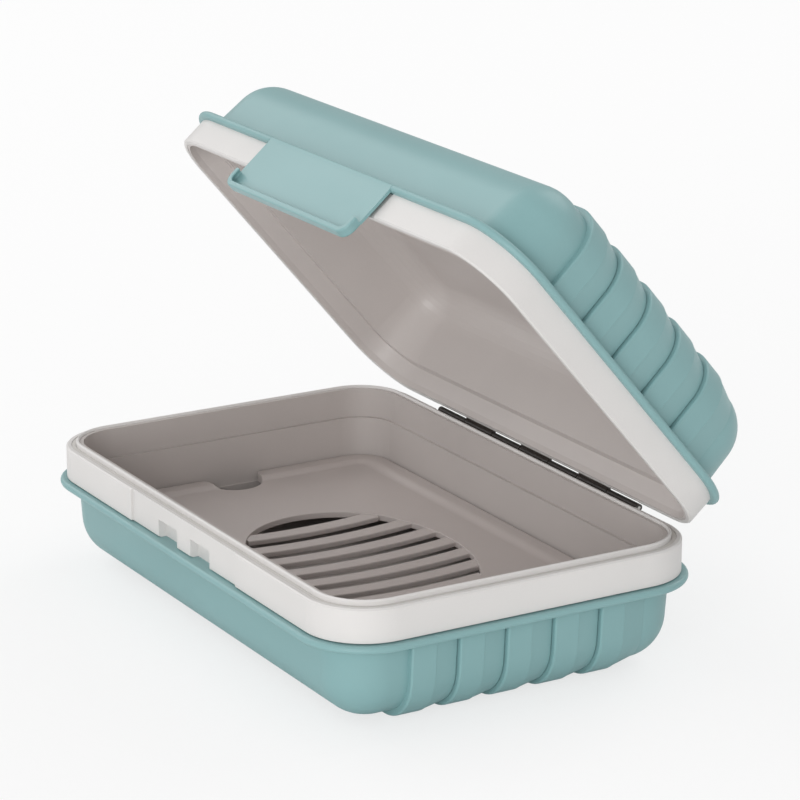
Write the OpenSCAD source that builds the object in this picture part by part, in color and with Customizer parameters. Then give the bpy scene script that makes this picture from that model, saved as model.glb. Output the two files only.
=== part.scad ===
// Travel soap box: two ribbed clamshell halves with pale rims, an inner tub with
// a lift-out louvred drain tray, a lined lid, a front latch and a continuous hinge.
// Millimetres. +Z up, +Y towards the hinge, latch at -Y. The origin is the centre
// of the base footprint, on the plane that the rib crests rest on.

/* [Overall] */
// Length along the latch edge, over the rims
box_l = 115; // [100:1:130]
// Width from the latch edge to the hinge edge, over the rims
box_w = 75; // [70:1:90]
// Corner radius of the rims, seen from above
corner_r = 11.5; // [11.3:0.1:14]
// How far the lid stands open
open_angle = 49.5; // [0:0.5:165]

/* [Shells] */
// Depth of each shell, from its flange face to its outer floor
shell_depth = 16.4; // [15:0.2:22]
// Wall of the shells
shell_wall = 1.0; // [0.8:0.1:1.2]
// How far the shell walls stand in from the rim face
shell_inset = 2.2; // [2:0.1:2.4]
// Radius between the shell walls and the floor
edge_r = 8.5; // [6:0.5:8.5]
// Draft of the walls in degrees
draft = 3.5; // [1:0.5:3.5]
// Thickness of the shell flanges
flange_t = 1.4; // [1.3:0.1:1.8]
// How far the flanges stand out from the rim face
flange_out = 1.3; // [1.2:0.1:1.6]

/* [Ribs] */
// Saw-tooth ribs on each shell
rib_count = 5; // [3:1:5]
// Distance from one rib to the next
rib_pitch = 9.65; // [8:0.05:9.65]
// Height of the rib crests above the shell
rib_h = 1.2; // [0.8:0.1:1.6]
// Share of the pitch that is flat crest
rib_crest = 0.5; // [0.3:0.05:0.7]
// How far the group of ribs sits towards the hinge
rib_shift = 1.6; // [0:0.1:1.6]

/* [Rims] */
// Height of the base rim
base_rim_h = 6.4; // [6:0.1:8]
// Height of the lid rim
lid_rim_h = 5.5; // [5:0.1:7]
// Thickness of the rim's outer wall
rim_wall = 1.0; // [0.9:0.05:1.2]
// Width of the groove that holds the seal
groove_w = 0.9; // [0.8:0.05:1.1]
// Depth of the seal groove
groove_d = 1.8; // [1.2:0.1:2]
// Thickness of the tongue inside the groove
tongue_w = 0.7; // [0.6:0.05:0.9]
// Height of the tongue above the rim's outer wall
tongue_h = 0.9; // [0.5:0.1:1.2]
// Depth of the latch recess in the front of the rims
recess_d = 0.4; // [0.4:0.05:0.6]

/* [Liners] */
// Wall of the tub and of the lid liner
liner_wall = 0.85; // [0.7:0.05:1]
// Space between a liner and its shell
liner_gap = 0.15; // [0.1:0.05:0.2]
// Height of the step inside the tub, above the flange
tub_step = 1.0; // [0.8:0.1:1.4]
// Height of the step inside the lid liner
lid_step = 1.1; // [0.9:0.1:1.4]
// Thickness of the liners' mouth walls
mouth_wall = 0.7; // [0.6:0.05:0.8]

/* [Drain tray] */
// Depth of the tray's edge below the base flange
tray_depth = 6.5; // [5:0.1:7]
// Thickness of the tray at its edge
tray_t = 1.9; // [1.6:0.1:2.4]
// How far the middle of the tray is dished
tray_dish = 0.7; // [0.4:0.1:0.9]
// Space between the tray and the tub wall
tray_gap = 0.45; // [0.2:0.05:0.5]
// Radius of the finger notch
finger_r = 5.5; // [4.5:0.5:7]
// Louvre slats
slat_count = 7; // [5:1:7]
// Distance from one slat to the next
slat_pitch = 6.6; // [6:0.1:6.6]
// Width of a slat
slat_w = 4.2; // [3.6:0.1:4.6]
// Thickness of a slat
slat_t = 1.2; // [1:0.1:1.6]
// Radius that the slats sag on
slat_sag_r = 220; // [200:10:300]
// Half length of the louvre opening
louvre_l = 26.3; // [24:0.1:28]
// Half width of the louvre opening
louvre_w = 19.4; // [16:0.1:20]

/* [Latch] */
// Width of the latch
latch_w = 44; // [36:1:50]
// Thickness of the latch plate at its middle
latch_t = 1.2; // [1.1:0.05:1.3]
// Diameter of the latch pin
latch_pin_d = 0.8; // [0.6:0.05:0.8]
// Width of a latch hook
hook_w = 6.8; // [5:0.1:8]
// Distance between the two hooks
hook_gap = 12.7; // [11:0.1:16]
// Radius of the latch's lower corners
latch_corner_r = 2.4; // [1:0.1:4]

/* [Hinge] */
// Length of the hinge
hinge_l = 70; // [50:1:80]
// Number of hinge knuckles
knuckles = 7; // [5:2:9]
// Diameter of the hinge barrel
barrel_d = 1.4; // [1.3:0.05:1.5]
// Diameter of the hinge pin
hinge_pin_d = 0.6; // [0.5:0.05:0.7]
// Thickness of the hinge leaves
leaf_t = 0.5; // [0.4:0.05:0.55]
// Height of the hinge leaves
leaf_h = 3.4; // [2.5:0.1:3.6]
// How far the hinge axis lies behind the rims
hinge_out = 0.8; // [0.8:0.05:1]
// How far the hinge axis lies below the parting plane
hinge_drop = 0.5; // [0.4:0.05:0.6]

/* [Hidden] */
$fn = 96;
// Fits
part_gap = 0.1;
seat_gap = 0.2;
rib_fit = 0.1;
tongue_fit = 0.05;
liner_fit = 0.04;
move_gap = 0.3;
pin_fit = 0.04;
knuckle_gap = 0.25;
recess_fit = 0.6;
// Small details
soft = 0.3;
sink = 0.2;
hair = 0.06;
bend_over = 3;
over = 1;
key_h = 0.6;
key_w = 0.6;
key_edge = 0.2;
seam_h = 0.25;
seam_in = 0.8;
mouth_step = 0.2;
mouth_flare = 1.2;
throat = 0.6;
lip_r = 0.9;
lip_t = 0.9;
lip_out = 0.95;
border_h = 4.2;
border_top = 2.2;
shelf_w = 2;
shelf_t = 1.2;
tray_rim = 3;
tray_slope = 1.6;
finger_entry = 1.6;
slat_drop = 0.2;
slat_ends = 0.9;
slat_foot = 0.2;
latch_plate = 0.6;
latch_edge = 1.8;
latch_pin_end = 2;
pin_in = 0.2;
hook_h = 1.3;
hook_low = 1.9;
hook_lead = 0.6;
notch_side = 0.3;
louvre_r = 17.5;
arc_steps = 8;

// Straight stretches between the corner centres
core_l = box_l - 2 * corner_r;
core_w = box_w - 2 * corner_r;
// Heights, from the resting plane and from the base flange
flange_z = shell_depth + rib_h;
lid_z = base_rim_h + part_gap;
stack_h = lid_z + lid_rim_h;
// Shell section: wall line and the centre of the floor radius
wall_r = corner_r - shell_inset;
bend_z = -shell_depth + edge_r;
bend_x = wall_r + bend_z * tan(draft) - edge_r / cos(draft);
// Insets of the rim's parts, measured in from the rim face
groove_in = rim_wall;
tongue_in = rim_wall + groove_w;
rim_in = tongue_in + tongue_w;
liner_off = shell_wall + liner_gap;
tub_out = rim_in + tongue_fit;
key_in = rim_wall + key_edge;
lid_key_in = key_edge;
lid_rim_in = rim_wall + liner_fit;
lid_liner_out = lid_rim_in + tongue_fit;
// Tray
tray_top = -tray_depth;
tray_bottom = tray_top - tray_t;
tray_r = inner_r(tray_top) - tray_gap;
shelf_top = tray_bottom - seat_gap;
// Ribs
rib_start = rib_shift - rib_count * rib_pitch / 2;
rib_rise = 0.25;
rib_root = 0.4;
// Front: faces of the latch and its recesses
front_y = -box_w / 2;
recess_y = front_y + recess_d;
latch_back = recess_y - move_gap;
latch_front = latch_back - latch_t;
plate_back = latch_front + latch_plate;
flange_tip = front_y - flange_out;
latch_pin_y = flange_tip + flange_t / 2 + pin_in;
latch_pin_z = stack_h + flange_t / 2;
latch_low = 0.4;
pad_w = latch_w - 2 * latch_edge;
base_recess_w = pad_w + recess_fit;
lid_recess_w = latch_w + recess_fit;
notch_w = hook_w + 2 * notch_side;
notch_h = hook_low + hook_h + notch_side;
notch_in = tongue_in + rib_fit;
hook_back = front_y + notch_in - move_gap;
// Hinge
back_y = box_w / 2;
hinge_y = back_y + hinge_out;
hinge_rise = lid_z - hinge_drop;
hinge_z = flange_z + hinge_rise;
barrel_r = barrel_d / 2;
pitch = hinge_l / knuckles;

// Distance from the corner centre to the liner's inner face, above the floor radius or on it
function inner_r(z) = z > bend_z
    ? wall_r - (liner_off + liner_wall) / cos(draft) + z * tan(draft)
    : bend_x + sqrt(pow(edge_r - liner_off - liner_wall, 2) - pow(z - bend_z, 2));

// Points along an arc
function arc(c, r, a0, a1, n = arc_steps) =
    [for (k = [0:n]) c + r * [cos(a0 + (a1 - a0) * k / n), sin(a0 + (a1 - a0) * k / n)]];

// Sweeps a section round the rectangle; x = distance out from the corner centres, y = height
module around() {
    for (turn = [0:3]) {
        along = turn % 2 == 0 ? core_w : core_l;
        out = turn % 2 == 0 ? core_l : core_w;
        rotate(90 * turn) translate([out / 2, 0, 0]) {
            rotate([90, 0, 0]) linear_extrude(along, center = true) children();
            translate([0, along / 2, 0]) rotate_extrude(angle = 90) children();
        }
    }
}

// Flat plate between the corner centres
module core(z0, z1) {
    translate([-core_l / 2, -core_w / 2, z0]) cube([core_l, core_w, z1 - z0]);
}

// Rectangle of the swept section, between two insets from the rim face
module band(i0, i1, z0, z1) {
    translate([corner_r - i1, z0]) square([i1 - i0, z1 - z0]);
}

// Box centred on x, between two values of y and of z
module block(w, y0, y1, z0, z1) {
    translate([-w / 2, y0, z0]) cube([w, y1 - y0, z1 - z0]);
}

// Pie slice that shares its straight edges with the shapes beside it
module sector(c, r, a0, a1) {
    mid = (a0 + a1) / 2;
    intersection() {
        translate(c) circle(r);
        polygon([c, c + 2 * r * [cos(a0), sin(a0)], c + 3 * r * [cos(mid), sin(mid)],
                 c + 2 * r * [cos(a1), sin(a1)]]);
    }
}

// Solid section of a half box, off = distance in from the shell's outer face
module half_section(off, top) {
    r = edge_r - off;
    polygon(concat([[0, bend_z - r]], arc([bend_x, bend_z], r, -90, -draft),
                   [[wall_r - off / cos(draft) + top * tan(draft), top], [0, top]]));
}

// Saw-tooth comb: a sharp step towards the latch, a flat crest and a ramp; x = height
module rib_comb() {
    tooth = [[rib_h - rib_rise, 0], [rib_h, rib_rise], [rib_h, rib_crest * rib_pitch], [hair, rib_pitch]];
    translate([edge_r, rib_start]) polygon(concat([[-rib_root, 0]],
        [for (j = [0:rib_count - 1], p = tooth) p + [0, j * rib_pitch]],
        [[-rib_root, rib_count * rib_pitch]]));
}

// Ribs across half the floor, round the bend and up one end wall, which lies a hair inside the bend
module rib_side() {
    wall_len = (-flange_t - bend_z + edge_r * sin(draft)) / cos(draft) + sink;
    half_floor = core_l / 2 + bend_x;
    translate([half_floor, 0, bend_z]) rotate([-90, 0, 0]) {
        rotate_extrude(angle = 90 - draft + bend_over, start = draft - bend_over) rib_comb();
        rotate(draft) translate([-hair / 2, rib_root, hair / 2]) rotate([90, 0, 0])
            linear_extrude(wall_len + rib_root) rib_comb();
        rotate(90) translate([0, half_floor, 0]) rotate([90, 0, 0])
            linear_extrude(half_floor) rib_comb();
    }
}

// Shell of one half, flange face at z = 0 and floor down
module half_shell(key_inset) {
    tip = corner_r + flange_out - flange_t / 2;
    root = wall_r - shell_wall / 2;
    difference() {
        union() {
            around() union() {
                half_section(0, -flange_t / 2);
                polygon([[root, -flange_t], [tip, -flange_t], [tip, 0], [root, 0]]);
                sector([tip, -flange_t / 2], flange_t / 2, -90, 0);
                sector([tip, -flange_t / 2], flange_t / 2, 0, 90);
            }
            core(-shell_depth, -flange_t / 2);
            rib_side();
            mirror([1, 0, 0]) rib_side();
        }
        around() half_section(shell_wall, over);
        core(-shell_depth + shell_wall, over);
        around() band(key_inset - rib_fit, key_inset + key_w + rib_fit, -key_h - rib_fit, over);
    }
}

// Section of the tub or the lid liner below its mouth wall; seat = outer inset of its shoulder
module liner_section(seat, step) {
    difference() {
        union() {
            half_section(liner_off, 0);
            band(seat, corner_r - inner_r(0) + sink, 0, step);
        }
        half_section(liner_off + liner_wall, step + over);
    }
}

module liner_floor() {
    core(-shell_depth + liner_off, -shell_depth + liner_off + liner_wall);
}

// Places a lid piece, modelled closed, at the angle that it stands open
module on_lid() {
    translate([0, hinge_y, hinge_z]) rotate([-open_angle, 0, 0])
        translate([0, -hinge_y, flange_z - hinge_z]) children();
}

// Turns a half modelled mouth up over, onto the lid's flange face
module lid_side() {
    on_lid() translate([0, 0, stack_h]) mirror([0, 0, 1]) children();
}

module base_shell() {
    color([0.50, 0.70, 0.69]) translate([0, 0, flange_z]) half_shell(key_in);
}

module base_rim() {
    h = base_rim_h;
    color([0.87, 0.86, 0.84]) translate([0, 0, flange_z]) difference() {
        around() union() {
            polygon([[corner_r - rim_in, 0], [corner_r - seam_in, 0], [corner_r - seam_in, seam_h],
                     [corner_r, seam_h], [corner_r, h - soft], [corner_r - soft, h],
                     [corner_r - groove_in, h], [corner_r - groove_in, h - groove_d],
                     [corner_r - tongue_in, h - groove_d], [corner_r - tongue_in, h + tongue_h - soft],
                     [corner_r - tongue_in - tongue_w / 3, h + tongue_h],
                     [corner_r - rim_in + tongue_w / 3, h + tongue_h],
                     [corner_r - rim_in, h + tongue_h - soft]]);
            band(key_in, key_in + key_w, -key_h, sink);
        }
        block(base_recess_w, front_y - over, recess_y, -over, h + over);
        for (side = [-1, 1]) translate([side * hook_gap / 2, 0, 0])
            block(notch_w, front_y - over, front_y + notch_in, -key_h - over, notch_h);
        block(hinge_l + 2 * rib_fit, back_y - leaf_t, back_y + over,
              hinge_rise - barrel_r - leaf_h - rib_fit, h + over);
    }
}

module rim_seal() {
    color([0.78, 0.77, 0.75]) translate([0, 0, flange_z]) around()
        band(groove_in + tongue_fit, tongue_in - tongue_fit, base_rim_h - groove_d, base_rim_h - rib_fit);
}

module base_tub() {
    color([0.64, 0.61, 0.58]) translate([0, 0, flange_z]) {
        difference() {
            around() union() {
                liner_section(tub_out, tub_step);
                band(tub_out, tub_out + mouth_wall, 0, base_rim_h + tongue_h / 2);
                polygon([[tray_r - shelf_w, shelf_top - shelf_t], [inner_r(shelf_top - shelf_t) + sink,
                    shelf_top - shelf_t], [inner_r(shelf_top) + sink, shelf_top], [tray_r - shelf_w, shelf_top]]);
            }
            translate([-core_l / 2 - tray_r, -finger_r - finger_entry, shelf_top - shelf_t - over])
                cube([2 * shelf_w, 2 * (finger_r + finger_entry), shelf_t + 2 * over]);
        }
        liner_floor();
    }
}

// Radius of the long arcs of an oval of four arcs: end radius er, half length a and half width b
function oval_r(a, b, er) = (pow(a - er, 2) + b * b - er * er) / (2 * (b - er));

// Half width of that oval at x
function oval_half(x, a, b, er) = let(br = oval_r(a, b, er)) abs(x) < (a - er) * br / (br - er)
    ? b - br + sqrt(br * br - x * x)
    : sqrt(er * er - pow(abs(x) - a + er, 2));

module oval(a, b, er) {
    br = oval_r(a, b, er);
    t = atan2(br - b, a - er);
    polygon(concat(arc([a - er, 0], er, -t, t), arc([0, b - br], br, t, 180 - t, 3 * arc_steps),
                   arc([er - a, 0], er, 180 - t, 180 + t),
                   arc([0, br - b], br, 180 + t, 360 - t, 3 * arc_steps)));
}

// Bite out of the tray's edge with rounded entries, edge at x = 0
module finger_bite() {
    e = finger_entry;
    polygon(concat([[-e, finger_r + e]], arc([e, finger_r + e], e, 180, 270),
                   arc([e, 0], finger_r, 90, -90, 2 * arc_steps), arc([e, -finger_r - e], e, 90, 180),
                   [[-e, -finger_r - e]]));
}

// Section of one slat in (radius, x): a well rounded top and slimmer foot
module slat_section(x) {
    r = slat_t - slat_foot;
    w = slat_w / 2;
    translate([slat_sag_r, x]) polygon(concat([[slat_t, w - r]], arc([r, w - r], r, 90, 180, 4),
        arc([r, r - w], r, 180, 270, 4), [[slat_t, r - w]]));
}

// Each slat hangs between its own ends, which meet the plate just below its face
module slats() {
    sweep = 2 * asin(louvre_w / slat_sag_r) + 2;
    end_z = tray_top - tray_dish - slat_drop;
    intersection() {
        for (k = [0:slat_count - 1]) {
            x = (k - (slat_count - 1) / 2) * slat_pitch;
            half = oval_half(x, louvre_l, louvre_w, louvre_r);
            translate([0, 0, end_z - half * half / (2 * slat_sag_r) + slat_sag_r]) rotate([0, 90, 0])
                rotate_extrude(angle = sweep, start = -sweep / 2, $fn = 360) slat_section(x);
        }
        translate([0, 0, end_z - 3 * slat_t]) linear_extrude(5 * slat_t)
            oval(louvre_l + slat_ends, louvre_w + slat_ends, louvre_r + slat_ends);
    }
}

module drain_tray() {
    floor_z = tray_top - tray_dish;
    color([0.62, 0.59, 0.56]) translate([0, 0, flange_z]) {
        difference() {
            union() {
                around() polygon([[0, tray_bottom], [tray_r - soft, tray_bottom], [tray_r, tray_bottom + soft],
                    [tray_r, tray_top - soft], [tray_r - soft, tray_top], [tray_r - tray_rim, tray_top],
                    [tray_r - tray_rim - tray_slope, floor_z], [0, floor_z]]);
                core(tray_bottom, floor_z);
            }
            translate([0, 0, tray_bottom - over]) linear_extrude(tray_t + 2 * over)
                oval(louvre_l, louvre_w, louvre_r);
            translate([-core_l / 2 - tray_r, 0, tray_bottom - over]) linear_extrude(tray_t + 2 * over)
                finger_bite();
        }
        slats();
    }
}

module lid_shell() {
    color([0.54, 0.73, 0.72]) on_lid() difference() {
        translate([0, 0, stack_h]) mirror([0, 0, 1]) half_shell(lid_key_in);
        block(latch_w + 2 * rib_fit, flange_tip - over, latch_pin_y + flange_t / 2 + move_gap,
              stack_h - over, stack_h + flange_t + sink);
        translate([-latch_w / 2 - latch_pin_end, latch_pin_y, latch_pin_z]) rotate([0, 90, 0])
            cylinder(h = latch_w + 2 * latch_pin_end, d = latch_pin_d + pin_fit, $fn = 32);
    }
}

module lid_rim() {
    color([0.87, 0.86, 0.84]) on_lid() difference() {
        around() union() {
            polygon([[corner_r - lid_rim_in, lid_z], [corner_r - soft, lid_z], [corner_r, lid_z + soft],
                     [corner_r, stack_h], [corner_r - lid_rim_in, stack_h]]);
            band(lid_key_in, lid_key_in + key_w, stack_h - sink, stack_h + key_h);
        }
        block(lid_recess_w, front_y - over, recess_y, lid_z - over, stack_h + over);
        block(lid_recess_w, front_y - over, front_y + rim_wall + over, stack_h, stack_h + over);
        block(hinge_l + 2 * rib_fit, back_y - leaf_t, back_y + over, lid_z - over,
              hinge_rise + barrel_r + leaf_h + rib_fit + sink);
    }
}

module lid_liner() {
    top = stack_h - lid_z - rib_fit;
    wall = corner_r - lid_liner_out;
    thin = wall - mouth_wall + mouth_step;
    color([0.66, 0.63, 0.60]) lid_side() {
        around() union() {
            liner_section(lid_liner_out, lid_step);
            polygon([[wall, 0], [wall, top], [thin, top], [thin, top - mouth_flare],
                     [thin - throat, lid_step - sink], [thin - throat, 0]]);
        }
        liner_floor();
    }
}

// Side view of the latch: bar round its pin, flap and outward rolled lip
module latch_side() {
    r = flange_t / 2;
    lip_z = latch_low + lip_t;
    polygon(concat(
        arc([latch_pin_y, latch_pin_z], r, 90, -90),
        [[latch_back, stack_h]],
        arc([latch_back - lip_r - lip_t, latch_low + lip_r + lip_t], lip_r + lip_t, 0, -90),
        arc([latch_front - lip_out, latch_low + lip_t / 2], lip_t / 2, -90, -270, 6),
        arc([latch_front - lip_r, lip_z + lip_r], lip_r, -90, 0),
        arc([flange_tip + r, latch_pin_z], r, 180, 90)));
}

// Front view of the latch, or of what lies an inset inside its edges
module latch_front_view(inset = 0) {
    w = latch_w / 2 - inset;
    r = latch_corner_r - inset;
    low = latch_low + inset + r;
    high = stack_h + flange_t + over;
    polygon(concat(arc([w - r, low], r, -90, 0), [[w, high], [-w, high]], arc([r - w, low], r, 180, 270)));
}

// Side view of the border that carries the lip round the lower corners and up both sides
module border_side() {
    front = latch_front - lip_out + tongue_fit;
    polygon([[latch_front + sink, -over], [front, -over], [front, latch_low + border_top],
             [latch_front + sink, latch_low + border_h]]);
}

// Side view of one hook, with a sloped lead on its lower edge
module hook_side() {
    polygon([[latch_back - sink, hook_low], [hook_back - hook_lead, hook_low], [hook_back, hook_low + hook_lead],
             [hook_back, hook_low + hook_h], [latch_back - sink, hook_low + hook_h]]);
}

// Turns a (y, z) side view into a solid of width w, centred on x
module across(w) {
    rotate([90, 0, 90]) linear_extrude(w, center = true) children();
}

module latch() {
    color([0.52, 0.72, 0.71]) on_lid() difference() {
        union() {
            intersection() {
                union() {
                    across(latch_w) latch_side();
                    difference() {
                        across(latch_w + over) border_side();
                        translate([0, front_y, 0]) rotate([90, 0, 0])
                            linear_extrude(latch_t + 3 * over) latch_front_view(lip_t - tongue_fit);
                    }
                }
                translate([0, front_y + over, 0]) rotate([90, 0, 0])
                    linear_extrude(lip_out + latch_t + 3 * over) latch_front_view();
            }
            for (side = [-1, 1]) translate([side * hook_gap / 2, 0, 0]) across(hook_w) hook_side();
        }
        for (side = [-1, 1]) translate([side * (pad_w / 2 + over), 0, 0])
            block(2 * over, plate_back, front_y + over, 0, stack_h - sink);
        translate([0, latch_pin_y, latch_pin_z]) rotate([0, 90, 0])
            cylinder(h = latch_w + over, d = latch_pin_d + 2 * pin_fit, center = true, $fn = 32);
    }
}

module latch_pin() {
    color([0.62, 0.63, 0.64]) on_lid() translate([0, latch_pin_y, latch_pin_z]) rotate([0, 90, 0])
        cylinder(h = latch_w + 2 * latch_pin_end - 2 * rib_fit, d = latch_pin_d, center = true, $fn = 32);
}

// Hinge leaf with every second knuckle; first = index of its first knuckle, up = 1 or -1
module hinge_leaf(first, up) {
    edge_z = hinge_rise + up * barrel_r;
    root_z = edge_z + up * knuckle_gap / 2;
    block(hinge_l - 2 * rib_fit, back_y - leaf_t, back_y, min(root_z, edge_z + up * leaf_h),
          max(root_z, edge_z + up * leaf_h));
    difference() {
        for (k = [first:2:knuckles - 1]) translate([(k + 0.5 - knuckles / 2) * pitch, 0, 0]) {
            translate([0, hinge_y, hinge_rise]) rotate([0, 90, 0])
                cylinder(h = pitch - knuckle_gap, r = barrel_r, center = true, $fn = 48);
            across(pitch - knuckle_gap) polygon([[back_y - leaf_t, root_z + up * leaf_t],
                [back_y, root_z + up * leaf_t], [hinge_y + barrel_r / 4, hinge_rise + up * 0.8 * barrel_r],
                [hinge_y - 0.6 * barrel_r, hinge_rise], [back_y - leaf_t, edge_z + up * sink]]);
        }
        translate([0, hinge_y, hinge_rise]) rotate([0, 90, 0])
            cylinder(h = hinge_l + over, d = hinge_pin_d + 2 * pin_fit, center = true, $fn = 32);
    }
}

module hinge_base_leaf() {
    color([0.22, 0.18, 0.16]) translate([0, 0, flange_z]) hinge_leaf(0, -1);
}

module hinge_lid_leaf() {
    color([0.24, 0.20, 0.18]) on_lid() hinge_leaf(1, 1);
}

module hinge_pin() {
    color([0.40, 0.38, 0.36]) translate([0, hinge_y, hinge_z]) rotate([0, 90, 0])
        cylinder(h = hinge_l - 2 * rib_fit, d = hinge_pin_d, center = true, $fn = 32);
}

base_shell();
base_rim();
rim_seal();
base_tub();
drain_tray();
lid_shell();
lid_rim();
lid_liner();
latch();
latch_pin();
hinge_base_leaf();
hinge_lid_leaf();
hinge_pin();
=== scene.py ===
import math

import bpy
from mathutils import Matrix, Vector


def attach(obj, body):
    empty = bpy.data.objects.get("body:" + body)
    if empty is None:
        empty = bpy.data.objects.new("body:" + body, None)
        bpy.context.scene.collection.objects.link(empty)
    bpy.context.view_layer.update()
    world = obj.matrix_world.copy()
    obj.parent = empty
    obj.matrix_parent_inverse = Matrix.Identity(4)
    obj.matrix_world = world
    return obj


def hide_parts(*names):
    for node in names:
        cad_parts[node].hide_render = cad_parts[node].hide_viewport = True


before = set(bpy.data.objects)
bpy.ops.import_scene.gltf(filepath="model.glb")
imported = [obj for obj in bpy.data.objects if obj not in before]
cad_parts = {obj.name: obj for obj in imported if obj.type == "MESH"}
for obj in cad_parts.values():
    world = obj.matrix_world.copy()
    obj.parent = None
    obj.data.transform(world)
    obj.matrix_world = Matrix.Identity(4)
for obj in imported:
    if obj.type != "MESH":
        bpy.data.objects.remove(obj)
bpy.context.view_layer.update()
print("frame loaded with", len(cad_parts), "nodes")

mm = 0.001

# The camera was fitted to the photograph, a long lens from the front right
viewValues = {
    "azimuth": 59.413,
    "elevation": 17.121,
    "roll": 0.109,
    "lens": 150.68,
    "sensor": 36,
    "clip": (0.01, 20),
    "place": (0.5104, -0.2935, 0.2222),
}


def makeCamera(values):
    around, above, roll = (math.radians(values[k]) for k in ("azimuth", "elevation", "roll"))
    back = Vector((math.sin(around) * math.cos(above), -math.cos(around) * math.cos(above), math.sin(above)))
    right = Vector((math.cos(around), math.sin(around), 0))
    up = back.cross(right)
    turnedRight = right * math.cos(roll) + up * math.sin(roll)
    turnedUp = up * math.cos(roll) - right * math.sin(roll)
    data = bpy.data.cameras.new("studioCamera")
    data.lens = values["lens"]
    data.sensor_width = values["sensor"]
    data.clip_start, data.clip_end = values["clip"]
    camera = bpy.data.objects.new("studioCamera", data)
    bpy.context.scene.collection.objects.link(camera)
    turn = Matrix((turnedRight, turnedUp, back)).transposed()
    camera.matrix_world = Matrix.Translation(values["place"]) @ turn.to_4x4()
    bpy.context.scene.camera = camera


makeCamera(viewValues)
print("camera set")


# Node helpers for the materials
def newMaterial(name):
    material = bpy.data.materials.new(name)
    material.use_nodes = True
    tree = material.node_tree
    tree.nodes.clear()
    output = tree.nodes.new("ShaderNodeOutputMaterial")
    shader = tree.nodes.new("ShaderNodeBsdfPrincipled")
    tree.links.new(shader.outputs[0], output.inputs["Surface"])
    return material, tree, shader


def placeOf(tree, stretch=None):
    place = tree.nodes.new("ShaderNodeTexCoord").outputs["Object"]
    if stretch is None:
        return place
    mapping = tree.nodes.new("ShaderNodeMapping")
    mapping.inputs["Scale"].default_value = stretch
    tree.links.new(place, mapping.inputs["Vector"])
    return mapping.outputs["Vector"]


def noiseOf(tree, place, scale, detail, roughness=0.5):
    noise = tree.nodes.new("ShaderNodeTexNoise")
    noise.inputs["Scale"].default_value = scale
    noise.inputs["Detail"].default_value = detail
    noise.inputs["Roughness"].default_value = roughness
    tree.links.new(place, noise.inputs["Vector"])
    return noise.outputs["Fac"]


def rampOf(tree, factor, stops):
    ramp = tree.nodes.new("ShaderNodeValToRGB")
    ramp.color_ramp.interpolation = "EASE"
    elements = ramp.color_ramp.elements
    for element, (position, colour) in zip(elements, stops):
        element.position = position
        element.color = (*colour, 1)
    tree.links.new(factor, ramp.inputs["Fac"])
    return ramp.outputs["Color"]


def mathOf(tree, operation, first, second):
    step = tree.nodes.new("ShaderNodeMath")
    step.operation = operation
    for socket, value in zip(step.inputs, (first, second)):
        if isinstance(value, (int, float)):
            socket.default_value = value
        else:
            tree.links.new(value, socket)
    return step.outputs[0]


def spanOf(tree, factor, low, high, start=0.3, end=0.7):
    span = tree.nodes.new("ShaderNodeMapRange")
    span.inputs["From Min"].default_value = start
    span.inputs["From Max"].default_value = end
    span.inputs["To Min"].default_value = low
    span.inputs["To Max"].default_value = high
    tree.links.new(factor, span.inputs["Value"])
    return span.outputs["Result"]


def bumpOf(tree, height, strength, depth, under=None):
    bump = tree.nodes.new("ShaderNodeBump")
    bump.inputs["Strength"].default_value = strength
    bump.inputs["Distance"].default_value = depth
    tree.links.new(height, bump.inputs["Height"])
    if under is not None:
        tree.links.new(under, bump.inputs["Normal"])
    return bump.outputs["Normal"]


def mixOf(tree, first, second, shares):
    parts = [mathOf(tree, "MULTIPLY", part, share) for part, share in zip((first, second), shares)]
    return mathOf(tree, "ADD", *parts)


def scaled(colour, share):
    return tuple(part * share for part in colour)


# Moulded plastic: slow flow of tone, satin grain, and faint drawn marks in the gloss
def mouldedPlastic(name, values):
    material, tree, shader = newMaterial(name)
    place = placeOf(tree)
    flow = noiseOf(tree, place, values["flowScale"], values["flowDetail"])
    grain = noiseOf(tree, place, values["grainScale"], values["grainDetail"], values["grainEdge"])
    drawn = noiseOf(tree, placeOf(tree, values["drawn"]), values["drawnScale"], values["drawnDetail"])
    tones = [scaled(values["colour"], 1 + sign * values["flow"]) for sign in (-1, 1)]
    toned = mixOf(tree, flow, grain, values["toneShares"])
    colour = rampOf(tree, toned, list(zip(values["toneSpan"], tones)))
    tree.links.new(colour, shader.inputs["Base Color"])
    gloss = mixOf(tree, grain, drawn, values["glossShares"])
    tree.links.new(spanOf(tree, gloss, *values["rough"]), shader.inputs["Roughness"])
    waves = bumpOf(tree, drawn, values["wave"], values["waveDepth"])
    tree.links.new(bumpOf(tree, grain, values["bump"], values["bumpDepth"], waves), shader.inputs["Normal"])
    shader.inputs["IOR"].default_value = values["ior"]
    return material


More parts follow.
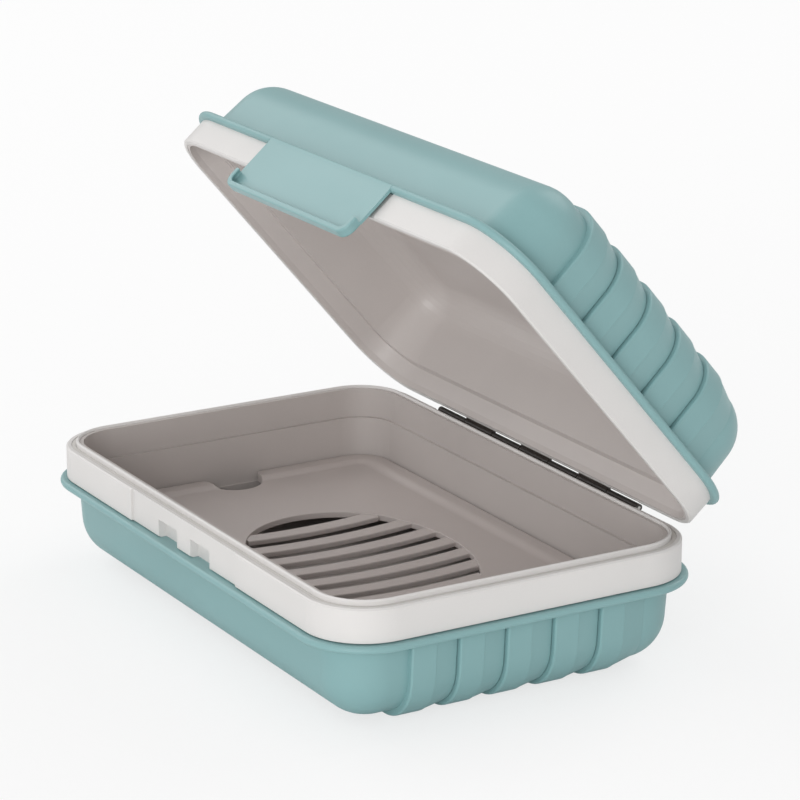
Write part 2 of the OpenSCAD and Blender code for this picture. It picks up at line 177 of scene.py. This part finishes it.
plasticBase = {
    "flow": 0.025, "flowScale": 28, "flowDetail": 3,
    "grainScale": 2400, "grainDetail": 4, "grainEdge": 0.6, "bump": 0.25, "bumpDepth": 0.03 * mm,
    "drawn": (0.25, 1, 1), "drawnScale": 160, "drawnDetail": 3, "wave": 0.05, "waveDepth": 0.1 * mm,
    "toneShares": (0.8, 0.2), "toneSpan": (0.35, 0.65), "glossShares": (0.6, 0.4), "ior": 1.48,
}
finishes = {
    "tealShell": {**plasticBase, "colour": (0.232, 0.405, 0.412), "rough": (0.34, 0.46)},
    "tealLatch": {**plasticBase, "colour": (0.232, 0.405, 0.412), "rough": (0.32, 0.44)},
    "paleRim": {**plasticBase, "colour": (0.70, 0.68, 0.665), "rough": (0.38, 0.5)},
    "sealRubber": {**plasticBase, "colour": (0.62, 0.60, 0.57), "rough": (0.6, 0.75)},
    # painted light: the lid lining is the tub lining's plastic made lighter, standing in for the brighter
    # light inside the open lid
    "lidLiningPaintedLight": {**plasticBase, "colour": (0.585, 0.545, 0.525), "rough": (0.32, 0.44)},
    "tubLining": {**plasticBase, "colour": (0.52, 0.48, 0.46), "rough": (0.32, 0.44)},
    "warmTray": {**plasticBase, "colour": (0.52, 0.47, 0.45), "rough": (0.34, 0.46)},
    # painted shade: the hinge leaves are made near black, standing in for the shade in the gap between the
    # two rims
    "hingePaintedShade": {**plasticBase, "colour": (0.035, 0.027, 0.023), "rough": (0.32, 0.5)},
}
madeFinishes = {name: mouldedPlastic(name, values) for name, values in finishes.items()}

# Drawn steel wire of the two pins
steelValues = {
    "colour": (0.55, 0.54, 0.52), "dark": 0.85, "toneSpan": (0.3, 0.7), "scale": 900, "detail": 5,
    "stretch": (0.05, 1, 1), "rough": (0.25, 0.42), "bump": 0.2, "bumpDepth": 0.01 * mm, "metal": 1,
}


def drawnSteel(name, values):
    material, tree, shader = newMaterial(name)
    streaks = noiseOf(tree, placeOf(tree, values["stretch"]), values["scale"], values["detail"])
    tones = [scaled(values["colour"], values["dark"]), values["colour"]]
    colour = rampOf(tree, streaks, list(zip(values["toneSpan"], tones)))
    tree.links.new(colour, shader.inputs["Base Color"])
    tree.links.new(spanOf(tree, streaks, *values["rough"]), shader.inputs["Roughness"])
    tree.links.new(bumpOf(tree, streaks, values["bump"], values["bumpDepth"]), shader.inputs["Normal"])
    shader.inputs["Metallic"].default_value = values["metal"]
    return material


madeFinishes["drawnSteel"] = drawnSteel("drawnSteel", steelValues)

# Nodes that stay as they are, each with its finish
carriedNodes = {
    # the lid liner's lighter finish is painted light
    "base_rim": "paleRim", "lid_rim": "paleRim", "base_tub": "tubLining", "lid_liner": "lidLiningPaintedLight",
    # the hinge leaves' near-black finish is painted shade
    "rim_seal": "sealRubber", "hinge_base_leaf": "hingePaintedShade", "hinge_lid_leaf": "hingePaintedShade",
    "hinge_pin": "drawnSteel", "latch_pin": "drawnSteel",
}
for nodeName, finishName in carriedNodes.items():
    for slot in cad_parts[nodeName].material_slots:
        slot.material = madeFinishes[finishName]
print("materials made")


# Mesh helpers: welding, crisp and soft edges, normals, and a piece's place in the part
def focusOn(piece):
    bpy.ops.object.select_all(action="DESELECT")
    piece.select_set(True)
    bpy.context.view_layer.objects.active = piece


def cleanMesh(piece, values):
    focusOn(piece)
    bpy.ops.object.mode_set(mode="EDIT")
    bpy.ops.mesh.select_all(action="SELECT")
    bpy.ops.mesh.remove_doubles(threshold=values["merge"])
    bpy.ops.mesh.dissolve_limited(angle_limit=math.radians(values["flat"]))
    bpy.ops.mesh.select_all(action="DESELECT")
    bpy.ops.object.mode_set(mode="OBJECT")


# Creases between the smooth limit and the bevelled edges stay crisp
def keepCreases(piece, values):
    focusOn(piece)
    bpy.ops.object.shade_smooth()
    bpy.ops.object.mode_set(mode="EDIT")
    bpy.ops.mesh.select_mode(type="EDGE")
    bpy.ops.mesh.select_all(action="DESELECT")
    bpy.ops.mesh.edges_select_sharp(sharpness=math.radians(values["crease"]))
    bpy.ops.mesh.mark_sharp()
    bpy.ops.mesh.select_all(action="DESELECT")
    if values["soft"]:
        bpy.ops.mesh.edges_select_sharp(sharpness=math.radians(values["sharp"]))
        bpy.ops.mesh.mark_sharp(clear=True)
    bpy.ops.mesh.select_all(action="DESELECT")
    bpy.ops.object.mode_set(mode="OBJECT")


def softenEdges(piece, values):
    keepCreases(piece, values)
    bevel = piece.modifiers.new("softEdges", "BEVEL")
    bevel.width = values["soft"]
    bevel.segments = values["steps"]
    bevel.limit_method = "ANGLE"
    bevel.angle_limit = math.radians(values["sharp"])
    bevel.use_clamp_overlap = False
    bevel.loop_slide = False
    bpy.ops.object.modifier_apply(modifier=bevel.name)
    evenNormals(piece)


# Splits faces of more than four sides, so that concave ones fill the same way each time
def splitFaces(piece):
    focusOn(piece)
    bpy.ops.object.mode_set(mode="EDIT")
    bpy.ops.mesh.select_mode(type="FACE")
    bpy.ops.mesh.select_all(action="DESELECT")
    bpy.ops.mesh.select_face_by_sides(number=4, type="GREATER")
    bpy.ops.mesh.quads_convert_to_tris(ngon_method="CLIP")
    bpy.ops.mesh.select_all(action="DESELECT")
    bpy.ops.object.mode_set(mode="OBJECT")


def evenNormals(piece):
    splitFaces(piece)
    weighted = piece.modifiers.new("evenNormals", "WEIGHTED_NORMAL")
    weighted.keep_sharp = True
    bpy.ops.object.modifier_apply(modifier=weighted.name)


def placePiece(piece, values):
    piece.data.materials.clear()
    piece.data.materials.append(madeFinishes[values["finish"]])
    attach(piece, values["body"])
    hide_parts(values["node"])
    print(piece.name, "made,", len(piece.data.polygons), "faces")


# The lid's pieces are modelled closed, from the base flange face at z = 0, and then turned open
lidTurn = {"open": 49.5, "hinge": (0, 38.3 * mm, 23.6 * mm), "flangeZ": 17.6 * mm, "stack": 12 * mm}


def basePlace(values):
    return Matrix.Translation((0, 0, values["flangeZ"]))


def lidPlace(values):
    hinge = Vector(values["hinge"])
    turn = Matrix.Rotation(-math.radians(values["open"]), 4, "X")
    return Matrix.Translation(hinge) @ turn @ Matrix.Translation(-hinge) @ basePlace(values)


def lidHalfPlace(values):
    return lidPlace(values) @ Matrix.Translation((0, 0, values["stack"])) @ Matrix.Diagonal((1, 1, -1, 1))


def arcOf(centre, radius, start, end, steps):
    angles = [math.radians(start + (end - start) * k / steps) for k in range(steps + 1)]
    return [(centre[0] + radius * math.cos(t), centre[1] + radius * math.sin(t)) for t in angles]


# Rounds the named corners of an outline; radii = {index: radius}
def roundedOutline(points, radii, steps):
    outline = []
    for k, point in enumerate(points):
        here, radius = Vector(point), radii.get(k, 0)
        if not radius:
            outline.append(tuple(here))
            continue
        back = (Vector(points[k - 1]) - here).normalized() * radius
        ahead = (Vector(points[(k + 1) % len(points)]) - here).normalized() * radius
        for step in range(steps + 1):
            t = step / steps
            outline.append(tuple(here + back * (1 - t) ** 2 + ahead * t ** 2))
    return outline


meshWeld = 0.001 * mm


def meshPiece(name, points, faces):
    data = bpy.data.meshes.new(name)
    data.from_pydata(points, [], faces)
    piece = bpy.data.objects.new(name, data)
    bpy.context.scene.collection.objects.link(piece)
    focusOn(piece)
    bpy.ops.object.mode_set(mode="EDIT")
    bpy.ops.mesh.select_all(action="SELECT")
    bpy.ops.mesh.remove_doubles(threshold=meshWeld)
    bpy.ops.mesh.normals_make_consistent(inside=False)
    bpy.ops.object.mode_set(mode="OBJECT")
    return piece


# Joins a row of like rings into a closed tube with a face on each end
def ringPiece(name, rings):
    rows = len(rings[0])
    faces = [tuple(range(rows)), tuple(range((len(rings) - 1) * rows, len(rings) * rows))]
    for k in range(len(rings) - 1):
        here, after = k * rows, (k + 1) * rows
        faces += [(here + j, here + (j + 1) % rows, after + (j + 1) % rows, after + j) for j in range(rows)]
    return meshPiece(name, [point for ring in rings for point in ring], faces)


# Half shells: a wall with draft, a bend into the floor, and a rolled flange
shellForm = {
    "coreX": 46 * mm, "coreY": 26 * mm, "wall": 9.3 * mm, "draft": 3.5, "bend": 8.47 * mm,
    "bendX": 0.30093 * mm, "bendZ": -7.9 * mm, "thick": 1 * mm, "flange": 1.4 * mm, "tip": 12.095 * mm,
    "fillet": 0.3 * mm, "filletSteps": 4, "cornerSteps": 16, "bendSteps": 14, "tipSteps": 10,
}


# Section of a half shell, mouth up, x out from the corner centres: floor, wall, flange and back
def shellSection(form):
    slope = math.tan(math.radians(form["draft"]))
    lean = math.cos(math.radians(form["draft"]))
    low, tipR, fillet = -form["flange"], form["flange"] / 2, form["fillet"]
    wallAt = form["wall"] + (low - fillet) * slope
    outer = [(0, form["bendZ"] - form["bend"])]
    outer += arcOf((form["bendX"], form["bendZ"]), form["bend"], -90, -form["draft"], form["bendSteps"])
    outer += roundedOutline([(wallAt, low - fillet), (form["wall"] + low * slope, low),
                             (wallAt + 2 * fillet, low)], {1: fillet}, form["filletSteps"])
    outer += arcOf((form["tip"], -tipR), tipR, -90, 90, form["tipSteps"])
    inner = arcOf((form["bendX"], form["bendZ"]), form["bend"] - form["thick"], -form["draft"], -90,
                  form["bendSteps"])
    outer += [(form["wall"] - form["thick"] / lean, 0)] + inner
    return outer + [(0, form["bendZ"] - form["bend"] + form["thick"])]


# Sweeps a section round the four corners and closes the flat floor
def sweptRound(name, section, form):
    stations = []
    for turn, (sx, sy) in enumerate(((1, 1), (-1, 1), (-1, -1), (1, -1))):
        for step in range(form["cornerSteps"] + 1):
            angle = math.radians(90 * turn + 90 * step / form["cornerSteps"])
            stations.append((sx * form["coreX"], sy * form["coreY"], math.cos(angle), math.sin(angle)))
    rows = len(section)
    points = [(cx + x * ux, cy + x * uy, z) for cx, cy, ux, uy in stations for x, z in section]
    faces = []
    for k in range(len(stations)):
        here, after = k * rows, (k + 1) % len(stations) * rows
        faces += [(here + j, after + j, after + j + 1, here + j + 1) for j in range(rows - 1)]
    corners = [turn * (form["cornerSteps"] + 1) * rows for turn in range(4)]
    faces += [tuple(corners), tuple(c + rows - 1 for c in corners)]
    return meshPiece(name, points, faces)


# Five saw-tooth ribs, with heights given from the shell's skin
ribForm = {
    "start": -22.525 * mm, "pitch": 9.65 * mm, "count": 5, "high": 1.23 * mm, "rise": 0.25 * mm,
    "crest": 0.5, "crestStep": 0.1 * mm, "low": 0.33 * mm, "hair": 0.09 * mm, "slit": 0.22 * mm,
    "slitFloor": 0.35 * mm, "root": 0.5 * mm, "edge": 0.12 * mm, "edgeSteps": 3, "top": -1.2 * mm,
}


# Saw-tooth comb across the ribs: each ramp stops short of the next step, which leaves a thin dark slit
def ribComb(form):
    comb, radii = [(form["start"], -form["root"])], {}
    for k in range(form["count"]):
        y = form["start"] + k * form["pitch"]
        crestY = y + form["crest"] * form["pitch"]
        last = k == form["count"] - 1
        endY = y + (form["pitch"] if last else form["pitch"] - form["slit"])
        radii[len(comb)] = radii[len(comb) + 1] = form["edge"]
        comb += [(y, form["high"] - form["rise"]), (y + form["rise"], form["high"]), (crestY, form["high"]),
                 (crestY + form["crestStep"], form["high"] - form["crestStep"])]
        if last:
            comb += [(endY, form["hair"]), (endY, -form["root"])]
        else:
            radii[len(comb)] = form["edge"]
            comb += [(endY, form["low"]), (endY, -form["slitFloor"]), (y + form["pitch"], -form["slitFloor"])]
    return roundedOutline(comb, radii, form["edgeSteps"])


# The comb runs down one end, round the bend, across the floor and up the other end
def sweptRibs(name, comb, form, shell):
    lean = math.radians(-shell["draft"])
    out = (math.cos(lean), math.sin(lean))
    centre = (shell["coreX"] + shell["bendX"], shell["bendZ"])
    wallX = shell["coreX"] + shell["wall"] + form["top"] * math.tan(-lean)
    half = [((wallX, form["top"]), out)]
    half += [((centre[0] + shell["bend"] * c, centre[1] + shell["bend"] * s), (c, s))
             for c, s in arcOf((0, 0), 1, -shell["draft"], -90, shell["bendSteps"])]
    path = half + [((-x, z), (-c, s)) for (x, z), (c, s) in reversed(half)]
    return ringPiece(name, [[(x + c * h, y, z + s * h) for y, h in comb] for (x, z), (c, s) in path])


def cutBox(piece, low, high):
    bpy.ops.object.select_all(action="DESELECT")
    bpy.ops.mesh.primitive_cube_add(size=1, location=[(a + b) / 2 for a, b in zip(low, high)])
    cutter = bpy.context.object
    cutter.scale = [b - a for a, b in zip(low, high)]
    focusOn(piece)
    cut = piece.modifiers.new("cut", "BOOLEAN")
    cut.operation = "DIFFERENCE"
    cut.object = cutter
    bpy.ops.object.modifier_apply(modifier=cut.name)
    bpy.data.objects.remove(cutter)


def mergeWith(piece, other, operation="UNION"):
    focusOn(piece)
    join = piece.modifiers.new("join", "BOOLEAN")
    join.operation = operation
    join.object = other
    bpy.ops.object.modifier_apply(modifier=join.name)
    bpy.data.objects.remove(other)


def shellSkin(values):
    skin = sweptRound(values["name"], shellSection(shellForm), shellForm)
    if "recess" in values:
        cutBox(skin, *values["recess"])
    sweptRibs("ribs", ribComb(ribForm), ribForm, shellForm)
    skin.select_set(True)
    bpy.context.view_layer.objects.active = skin
    bpy.ops.object.join()
    skin.data.transform(values["place"])
    focusOn(skin)
    bpy.ops.object.mode_set(mode="EDIT")
    bpy.ops.mesh.select_all(action="SELECT")
    bpy.ops.mesh.normals_make_consistent(inside=False)
    bpy.ops.object.mode_set(mode="OBJECT")
    keepCreases(skin, values)
    evenNormals(skin)
    placePiece(skin, values)
    return skin


shellBase = {"soft": 0, "crease": 10, "slot": "shell_plastic", "finish": "tealShell"}
baseShellSkin = shellSkin({
    **shellBase, "node": "base_shell", "name": "baseShellSkin", "body": "base", "place": basePlace(lidTurn),
})

# The latch's bar turns in a gap in the lid's flange, given here mouth up
lidShellSkin = shellSkin({
    **shellBase, "node": "lid_shell", "name": "lidShellSkin", "body": "lid", "place": lidHalfPlace(lidTurn),
    "recess": ((-22.1 * mm, -39.8 * mm, -1.6 * mm), (22.1 * mm, -36.9 * mm, 1 * mm)),
})

# Drain tray: a dished plate with its opening and finger notch, and slats that sag between its edges
plateForm = {
    "edge": 6.4487 * mm, "top": -6.5 * mm, "bottom": -8.4 * mm, "floor": -7.2 * mm, "rim": 3 * mm,
    "slope": 1.6 * mm, "round": 0.4 * mm, "soft": 0.6 * mm, "roundSteps": 5,
    "fingerR": 5.5 * mm, "entry": 1.6 * mm, "fingerSteps": 12,
}
slatForm = {
    "flangeZ": lidTurn["flangeZ"], "endZ": -7.4 * mm, "sagR": 220 * mm, "pitch": 6.6 * mm, "count": 7,
    "halfL": 26.3 * mm, "halfW": 19.4 * mm, "endR": 17.5 * mm, "hold": 0.6 * mm, "steps": 20,
    "ovalSteps": 48, "cut": (-12 * mm, -2 * mm), "crease": 40,
    "topHalf": 1.75 * mm, "footHalf": 1.5 * mm, "deep": 1.05 * mm,
    "topRound": 0.3 * mm, "footRound": 0.15 * mm, "roundSteps": 4,
}


# Half width of the four-arc opening at x
def openingHalf(x, form):
    halfL, halfW, endR = form["halfL"], form["halfW"], form["endR"]
    longR = ((halfL - endR) ** 2 + halfW * halfW - endR * endR) / (2 * (halfW - endR))
    if abs(x) < (halfL - endR) * longR / (longR - endR):
        return halfW - longR + math.sqrt(longR ** 2 - x * x)
    return math.sqrt(max(endR * endR - (abs(x) - halfL + endR) ** 2, 0))


def openingOutline(form):
    steps = form["ovalSteps"]
    across = [form["halfL"] * math.cos(math.pi * k / steps) for k in range(steps + 1)]
    upper = [(x, openingHalf(x, form)) for x in across]
    return upper + [(x, -y) for x, y in reversed(upper[1:-1])]


def slatSection(form):
    top, foot, low = form["topHalf"], form["footHalf"], -form["deep"]
    corners = [(-top, 0), (top, 0), (foot, low), (-foot, low)]
    rounds = [form["topRound"]] * 2 + [form["footRound"]] * 2
    return roundedOutline(corners, dict(enumerate(rounds)), form["roundSteps"])


def slatPiece(x, form):
    half = openingHalf(x, form)
    reach = half + form["hold"]
    rings = []
    for k in range(form["steps"] + 1):
        y = reach * (2 * k / form["steps"] - 1)
        z = form["flangeZ"] + form["endZ"] + (y * y - half * half) / (2 * form["sagR"])
        rings.append([(x + across, y, z + up) for across, up in slatSection(form)])
    return ringPiece("slat", rings)


# Finger notch with rounded entries, from outside the plate's -x edge
def fingerOutline(form, edgeX):
    entry, radius, steps = form["entry"], form["fingerR"], form["fingerSteps"]
    outline = [(-entry, radius + entry)] + arcOf((entry, radius + entry), entry, 180, 270, steps)
    outline += arcOf((entry, 0), radius, 90, -90, 2 * steps)
    outline += arcOf((entry, -radius - entry), entry, 90, 180, steps) + [(-entry, -radius - entry)]
    return [(edgeX + x, y) for x, y in outline]


def prismPiece(outline, low, high):
    return ringPiece("prism", [[(x, y, z) for x, y in outline] for z in (low, high)])


def makeTray(values, form, plate):
    edge, top, bottom, floor = (plate[k] for k in ("edge", "top", "bottom", "floor"))
    inner = edge - plate["rim"]
    section = roundedOutline([
        (0, bottom), (edge, bottom), (edge, top), (inner, top), (inner - plate["slope"], floor), (0, floor),
    ], {1: plate["round"], 2: plate["round"], 3: plate["soft"], 4: plate["soft"]}, plate["roundSteps"])
    tray = sweptRound(values["name"], section, shellForm)
    low, high = form["cut"]
    mergeWith(tray, prismPiece(openingOutline(form), low, high), "DIFFERENCE")
    mergeWith(tray, prismPiece(fingerOutline(plate, -shellForm["coreX"] - edge), low, high), "DIFFERENCE")
    tray.data.transform(basePlace(lidTurn))
    softenEdges(tray, values)
    slats = [slatPiece((k - (form["count"] - 1) / 2) * form["pitch"], form) for k in range(form["count"])]
    for slat in slats:
        keepCreases(slat, {"soft": 0, "crease": form["crease"]})
        evenNormals(slat)
    bpy.ops.object.select_all(action="DESELECT")
    for piece in slats + [tray]:
        piece.select_set(True)
    bpy.context.view_layer.objects.active = tray
    bpy.ops.object.join()
    placePiece(tray, values)
    return tray


drainTrayPlate = makeTray({
    "node": "drain_tray", "name": "drainTrayPlate", "body": "tray", "slot": "tray_plastic",
    "finish": "warmTray", "soft": 0.15 * mm, "steps": 2, "sharp": 60, "crease": 35,
}, slatForm, plateForm)

# Latch: a flap with a rolled lip round its lower corners, a gutter inside the lip, a pad and two hooks
latchForm = {
    "half": 22 * mm, "low": 0.4 * mm, "top": 12.1 * mm, "corner": 2.4 * mm, "cornerSteps": 10,
    "front": -38.6 * mm, "plate": 0.6 * mm, "lipOut": 1.3 * mm, "lipWall": 0.4 * mm, "lipHigh": 1.1 * mm,
    "gutter": 0.42 * mm, "lipIn": 1.6 * mm, "lipEnd": 4.2 * mm, "inset": 0.25 * mm, "hair": 0.015 * mm,
    "rootRound": 0.3 * mm, "lipRound": 0.35 * mm, "brinkRound": 0.19 * mm, "gutterRound": 0.25 * mm,
    "lipSteps": 4, "lipOverlap": 0.05 * mm, "overlap": 0.1 * mm, "spare": 1 * mm,
    "padHalf": 20.2 * mm, "padBack": -37.4 * mm, "padLow": 1.3 * mm,
    "pin": (-37.9 * mm, 12.7 * mm), "pinRound": 0.7 * mm, "bore": 0.6 * mm, "tip": -38.1 * mm,
    "barSteps": 8, "barDrop": 1 * mm, "boreSteps": 24,
    "hookAt": 6.35 * mm, "hookHalf": 3.4 * mm, "hookBack": -35.8 * mm, "hookLow": 1.9 * mm,
    "hookHigh": 3.2 * mm, "hookLead": 0.6 * mm,
}


# Extrudes a (y, z) side view across x
def acrossPiece(name, outline, low, high):
    return ringPiece(name, [[(x, y, z) for y, z in outline] for x in (low, high)])


# Extrudes an (x, z) front view between two values of y
def frontPiece(name, outline, front, back):
    return ringPiece(name, [[(x, y, z) for x, z in outline] for y in (front, back)])


def latchOutline(form, inset):
    half, radius = form["half"] - inset, form["corner"] - inset
    low = form["low"] + inset + radius
    right = arcOf((half - radius, low), radius, -90, 0, form["cornerSteps"])
    left = arcOf((radius - half, low), radius, 180, 270, form["cornerSteps"])
    return right + [(half, form["top"]), (-half, form["top"])] + left


def lipSection(form):
    wallAt = form["lipOut"] - form["lipWall"]
    return roundedOutline([
        (-form["plate"], form["lipIn"]), (-form["plate"], 0), (form["lipOut"], 0),
        (form["lipOut"], form["lipHigh"]), (wallAt, form["lipHigh"]), (wallAt, form["gutter"]),
        (0, form["gutter"]), (0, form["lipIn"]),
    ], {
        1: form["rootRound"], 2: form["lipRound"], 3: form["brinkRound"], 4: form["brinkRound"],
        5: form["gutterRound"], 6: form["gutterRound"],
    }, form["lipSteps"])


# The lip runs down one side of the flap, along its foot and up the other side
def latchLip(form):
    half, radius, low = form["half"], form["corner"], form["low"] + form["corner"]
    path = [((-half, form["lipEnd"]), (1, 0))]
    for side, start, end in ((-1, 180, 270), (1, -90, 0)):
        middle = side * half - side * radius
        path += [((middle + radius * c, low + radius * s), (-c, -s))
                 for c, s in arcOf((0, 0), 1, start, end, form["cornerSteps"])]
    path.append(((half, form["lipEnd"]), (-1, 0)))
    section = lipSection(form)
    return ringPiece("lip", [[(x + nx * v, form["front"] - u, z + nz * v) for u, v in section]
                             for (x, z), (nx, nz) in path])


def latchFront(form):
    inset, half, top, end = form["inset"], form["half"], form["top"], form["lipEnd"] - form["lipOverlap"]
    inner, corner = latchOutline(form, inset), form["cornerSteps"] + 1
    sides = [(half - inset, end), (half, end), (half, top), (-half, top), (-half, end), (inset - half, end)]
    return inner[:corner] + sides + inner[-corner:]


def makeLatch(values, form):
    half, hair, front, overlap = form["half"], form["hair"], form["front"], form["overlap"]
    back = front + form["plate"]
    flap = frontPiece(values["name"], latchFront(form), front + hair, back - hair)
    mergeWith(flap, latchLip(form))
    pinY, pinZ = form["pin"]
    bar = arcOf((pinY, pinZ), form["pinRound"], 90, -90, form["barSteps"])
    bar.append((front + form["plate"] / 2, form["top"] - form["barDrop"]))
    bar += arcOf((form["tip"], pinZ), form["pinRound"], 180, 90, form["barSteps"])
    mergeWith(flap, acrossPiece("bar", bar, hair - half, half - hair))
    pad = [(back - overlap, form["padLow"]), (form["padBack"], form["padLow"]),
           (form["padBack"], pinZ - form["pinRound"] + overlap), (back - overlap, pinZ)]
    mergeWith(flap, acrossPiece("pad", pad, -form["padHalf"], form["padHalf"]))
    foot, tip, lead = form["padBack"] - overlap, form["hookBack"], form["hookLead"]
    low, high = form["hookLow"], form["hookHigh"]
    hook = [(foot, low), (tip - lead, low), (tip, low + lead), (tip, high), (foot, high)]
    for side in (-1, 1):
        middle = side * form["hookAt"]
        mergeWith(flap, acrossPiece("hook", hook, middle - form["hookHalf"], middle + form["hookHalf"]))
    steps = form["boreSteps"]
    bore = arcOf((pinY, pinZ), form["bore"], 0, 360 - 360 / steps, steps - 1)
    mergeWith(flap, acrossPiece("bore", bore, -half - form["spare"], half + form["spare"]), "DIFFERENCE")
    flap.data.transform(lidPlace(lidTurn))
    cleanMesh(flap, values)
    keepCreases(flap, values)
    evenNormals(flap)
    placePiece(flap, values)
    return flap


latchFlap = makeLatch({
    "node": "latch", "name": "latchFlap", "body": "latch", "slot": "latch_plastic", "finish": "tealLatch",
    "merge": 0.002 * mm, "flat": 0.3, "soft": 0, "crease": 35,
}, latchForm)
print("pieces made")

# Floor and light
stageValues = {
    "floorSize": 8, "floorColour": (0.93, 0.93, 0.93), "floorGlow": 0.72, "worldGlow": 0.57,
    "lamps": [
        ("frontLamp", (0.75, -0.75, 0.2), 0.7, 6.3),
        ("leftLamp", (-1.0, -0.25, 0.75), 0.8, 3.3),
        ("backLamp", (-0.2, 0.9, 0.9), 0.8, 3.6),
        ("topLamp", (-0.35, -0.75, 1.0), 0.9, 1.2),
    ],
    "aim": (0, 0, 0.04),
}


def makeFloor(values):
    bpy.ops.object.select_all(action="DESELECT")
    bpy.ops.mesh.primitive_plane_add(size=values["floorSize"], location=(0, 0, 0))
    floor = bpy.context.object
    floor.name = "studioFloor"
    material = bpy.data.materials.new("paleFloor")
    material.use_nodes = True
    tree = material.node_tree
    tree.nodes.clear()
    output = tree.nodes.new("ShaderNodeOutputMaterial")
    diffuse = tree.nodes.new("ShaderNodeBsdfDiffuse")
    diffuse.inputs["Color"].default_value = (*values["floorColour"], 1)
    glow = tree.nodes.new("ShaderNodeEmission")
    glow.inputs["Color"].default_value = (1, 1, 1, 1)
    glow.inputs["Strength"].default_value = 1
    path = tree.nodes.new("ShaderNodeLightPath")
    mix = tree.nodes.new("ShaderNodeMixShader")
    tree.links.new(mathOf(tree, "MULTIPLY", path.outputs["Is Camera Ray"], values["floorGlow"]),
                   mix.inputs["Fac"])
    tree.links.new(diffuse.outputs[0], mix.inputs[1])
    tree.links.new(glow.outputs[0], mix.inputs[2])
    tree.links.new(mix.outputs[0], output.inputs["Surface"])
    floor.data.materials.append(material)


def makeWorld(values):
    world = bpy.data.worlds.new("studioWorld")
    bpy.context.scene.world = world
    world.use_nodes = True
    tree = world.node_tree
    tree.nodes.clear()
    output = tree.nodes.new("ShaderNodeOutputWorld")
    background = tree.nodes.new("ShaderNodeBackground")
    background.inputs["Color"].default_value = (1, 1, 1, 1)
    path = tree.nodes.new("ShaderNodeLightPath")
    level = spanOf(tree, path.outputs["Is Camera Ray"], values["worldGlow"], 1, 0, 1)
    tree.links.new(level, background.inputs["Strength"])
    tree.links.new(background.outputs[0], output.inputs["Surface"])


def makeLamps(values):
    for name, place, size, power in values["lamps"]:
        data = bpy.data.lights.new(name, "AREA")
        data.size = size
        data.energy = power
        lamp = bpy.data.objects.new(name, data)
        bpy.context.scene.collection.objects.link(lamp)
        aim = Vector(values["aim"]) - Vector(place)
        lamp.matrix_world = Matrix.Translation(place) @ aim.to_track_quat("-Z", "Y").to_matrix().to_4x4()


makeFloor(stageValues)
makeWorld(stageValues)
makeLamps(stageValues)
bpy.context.scene.view_settings.view_transform = "Standard"
print("stage set")
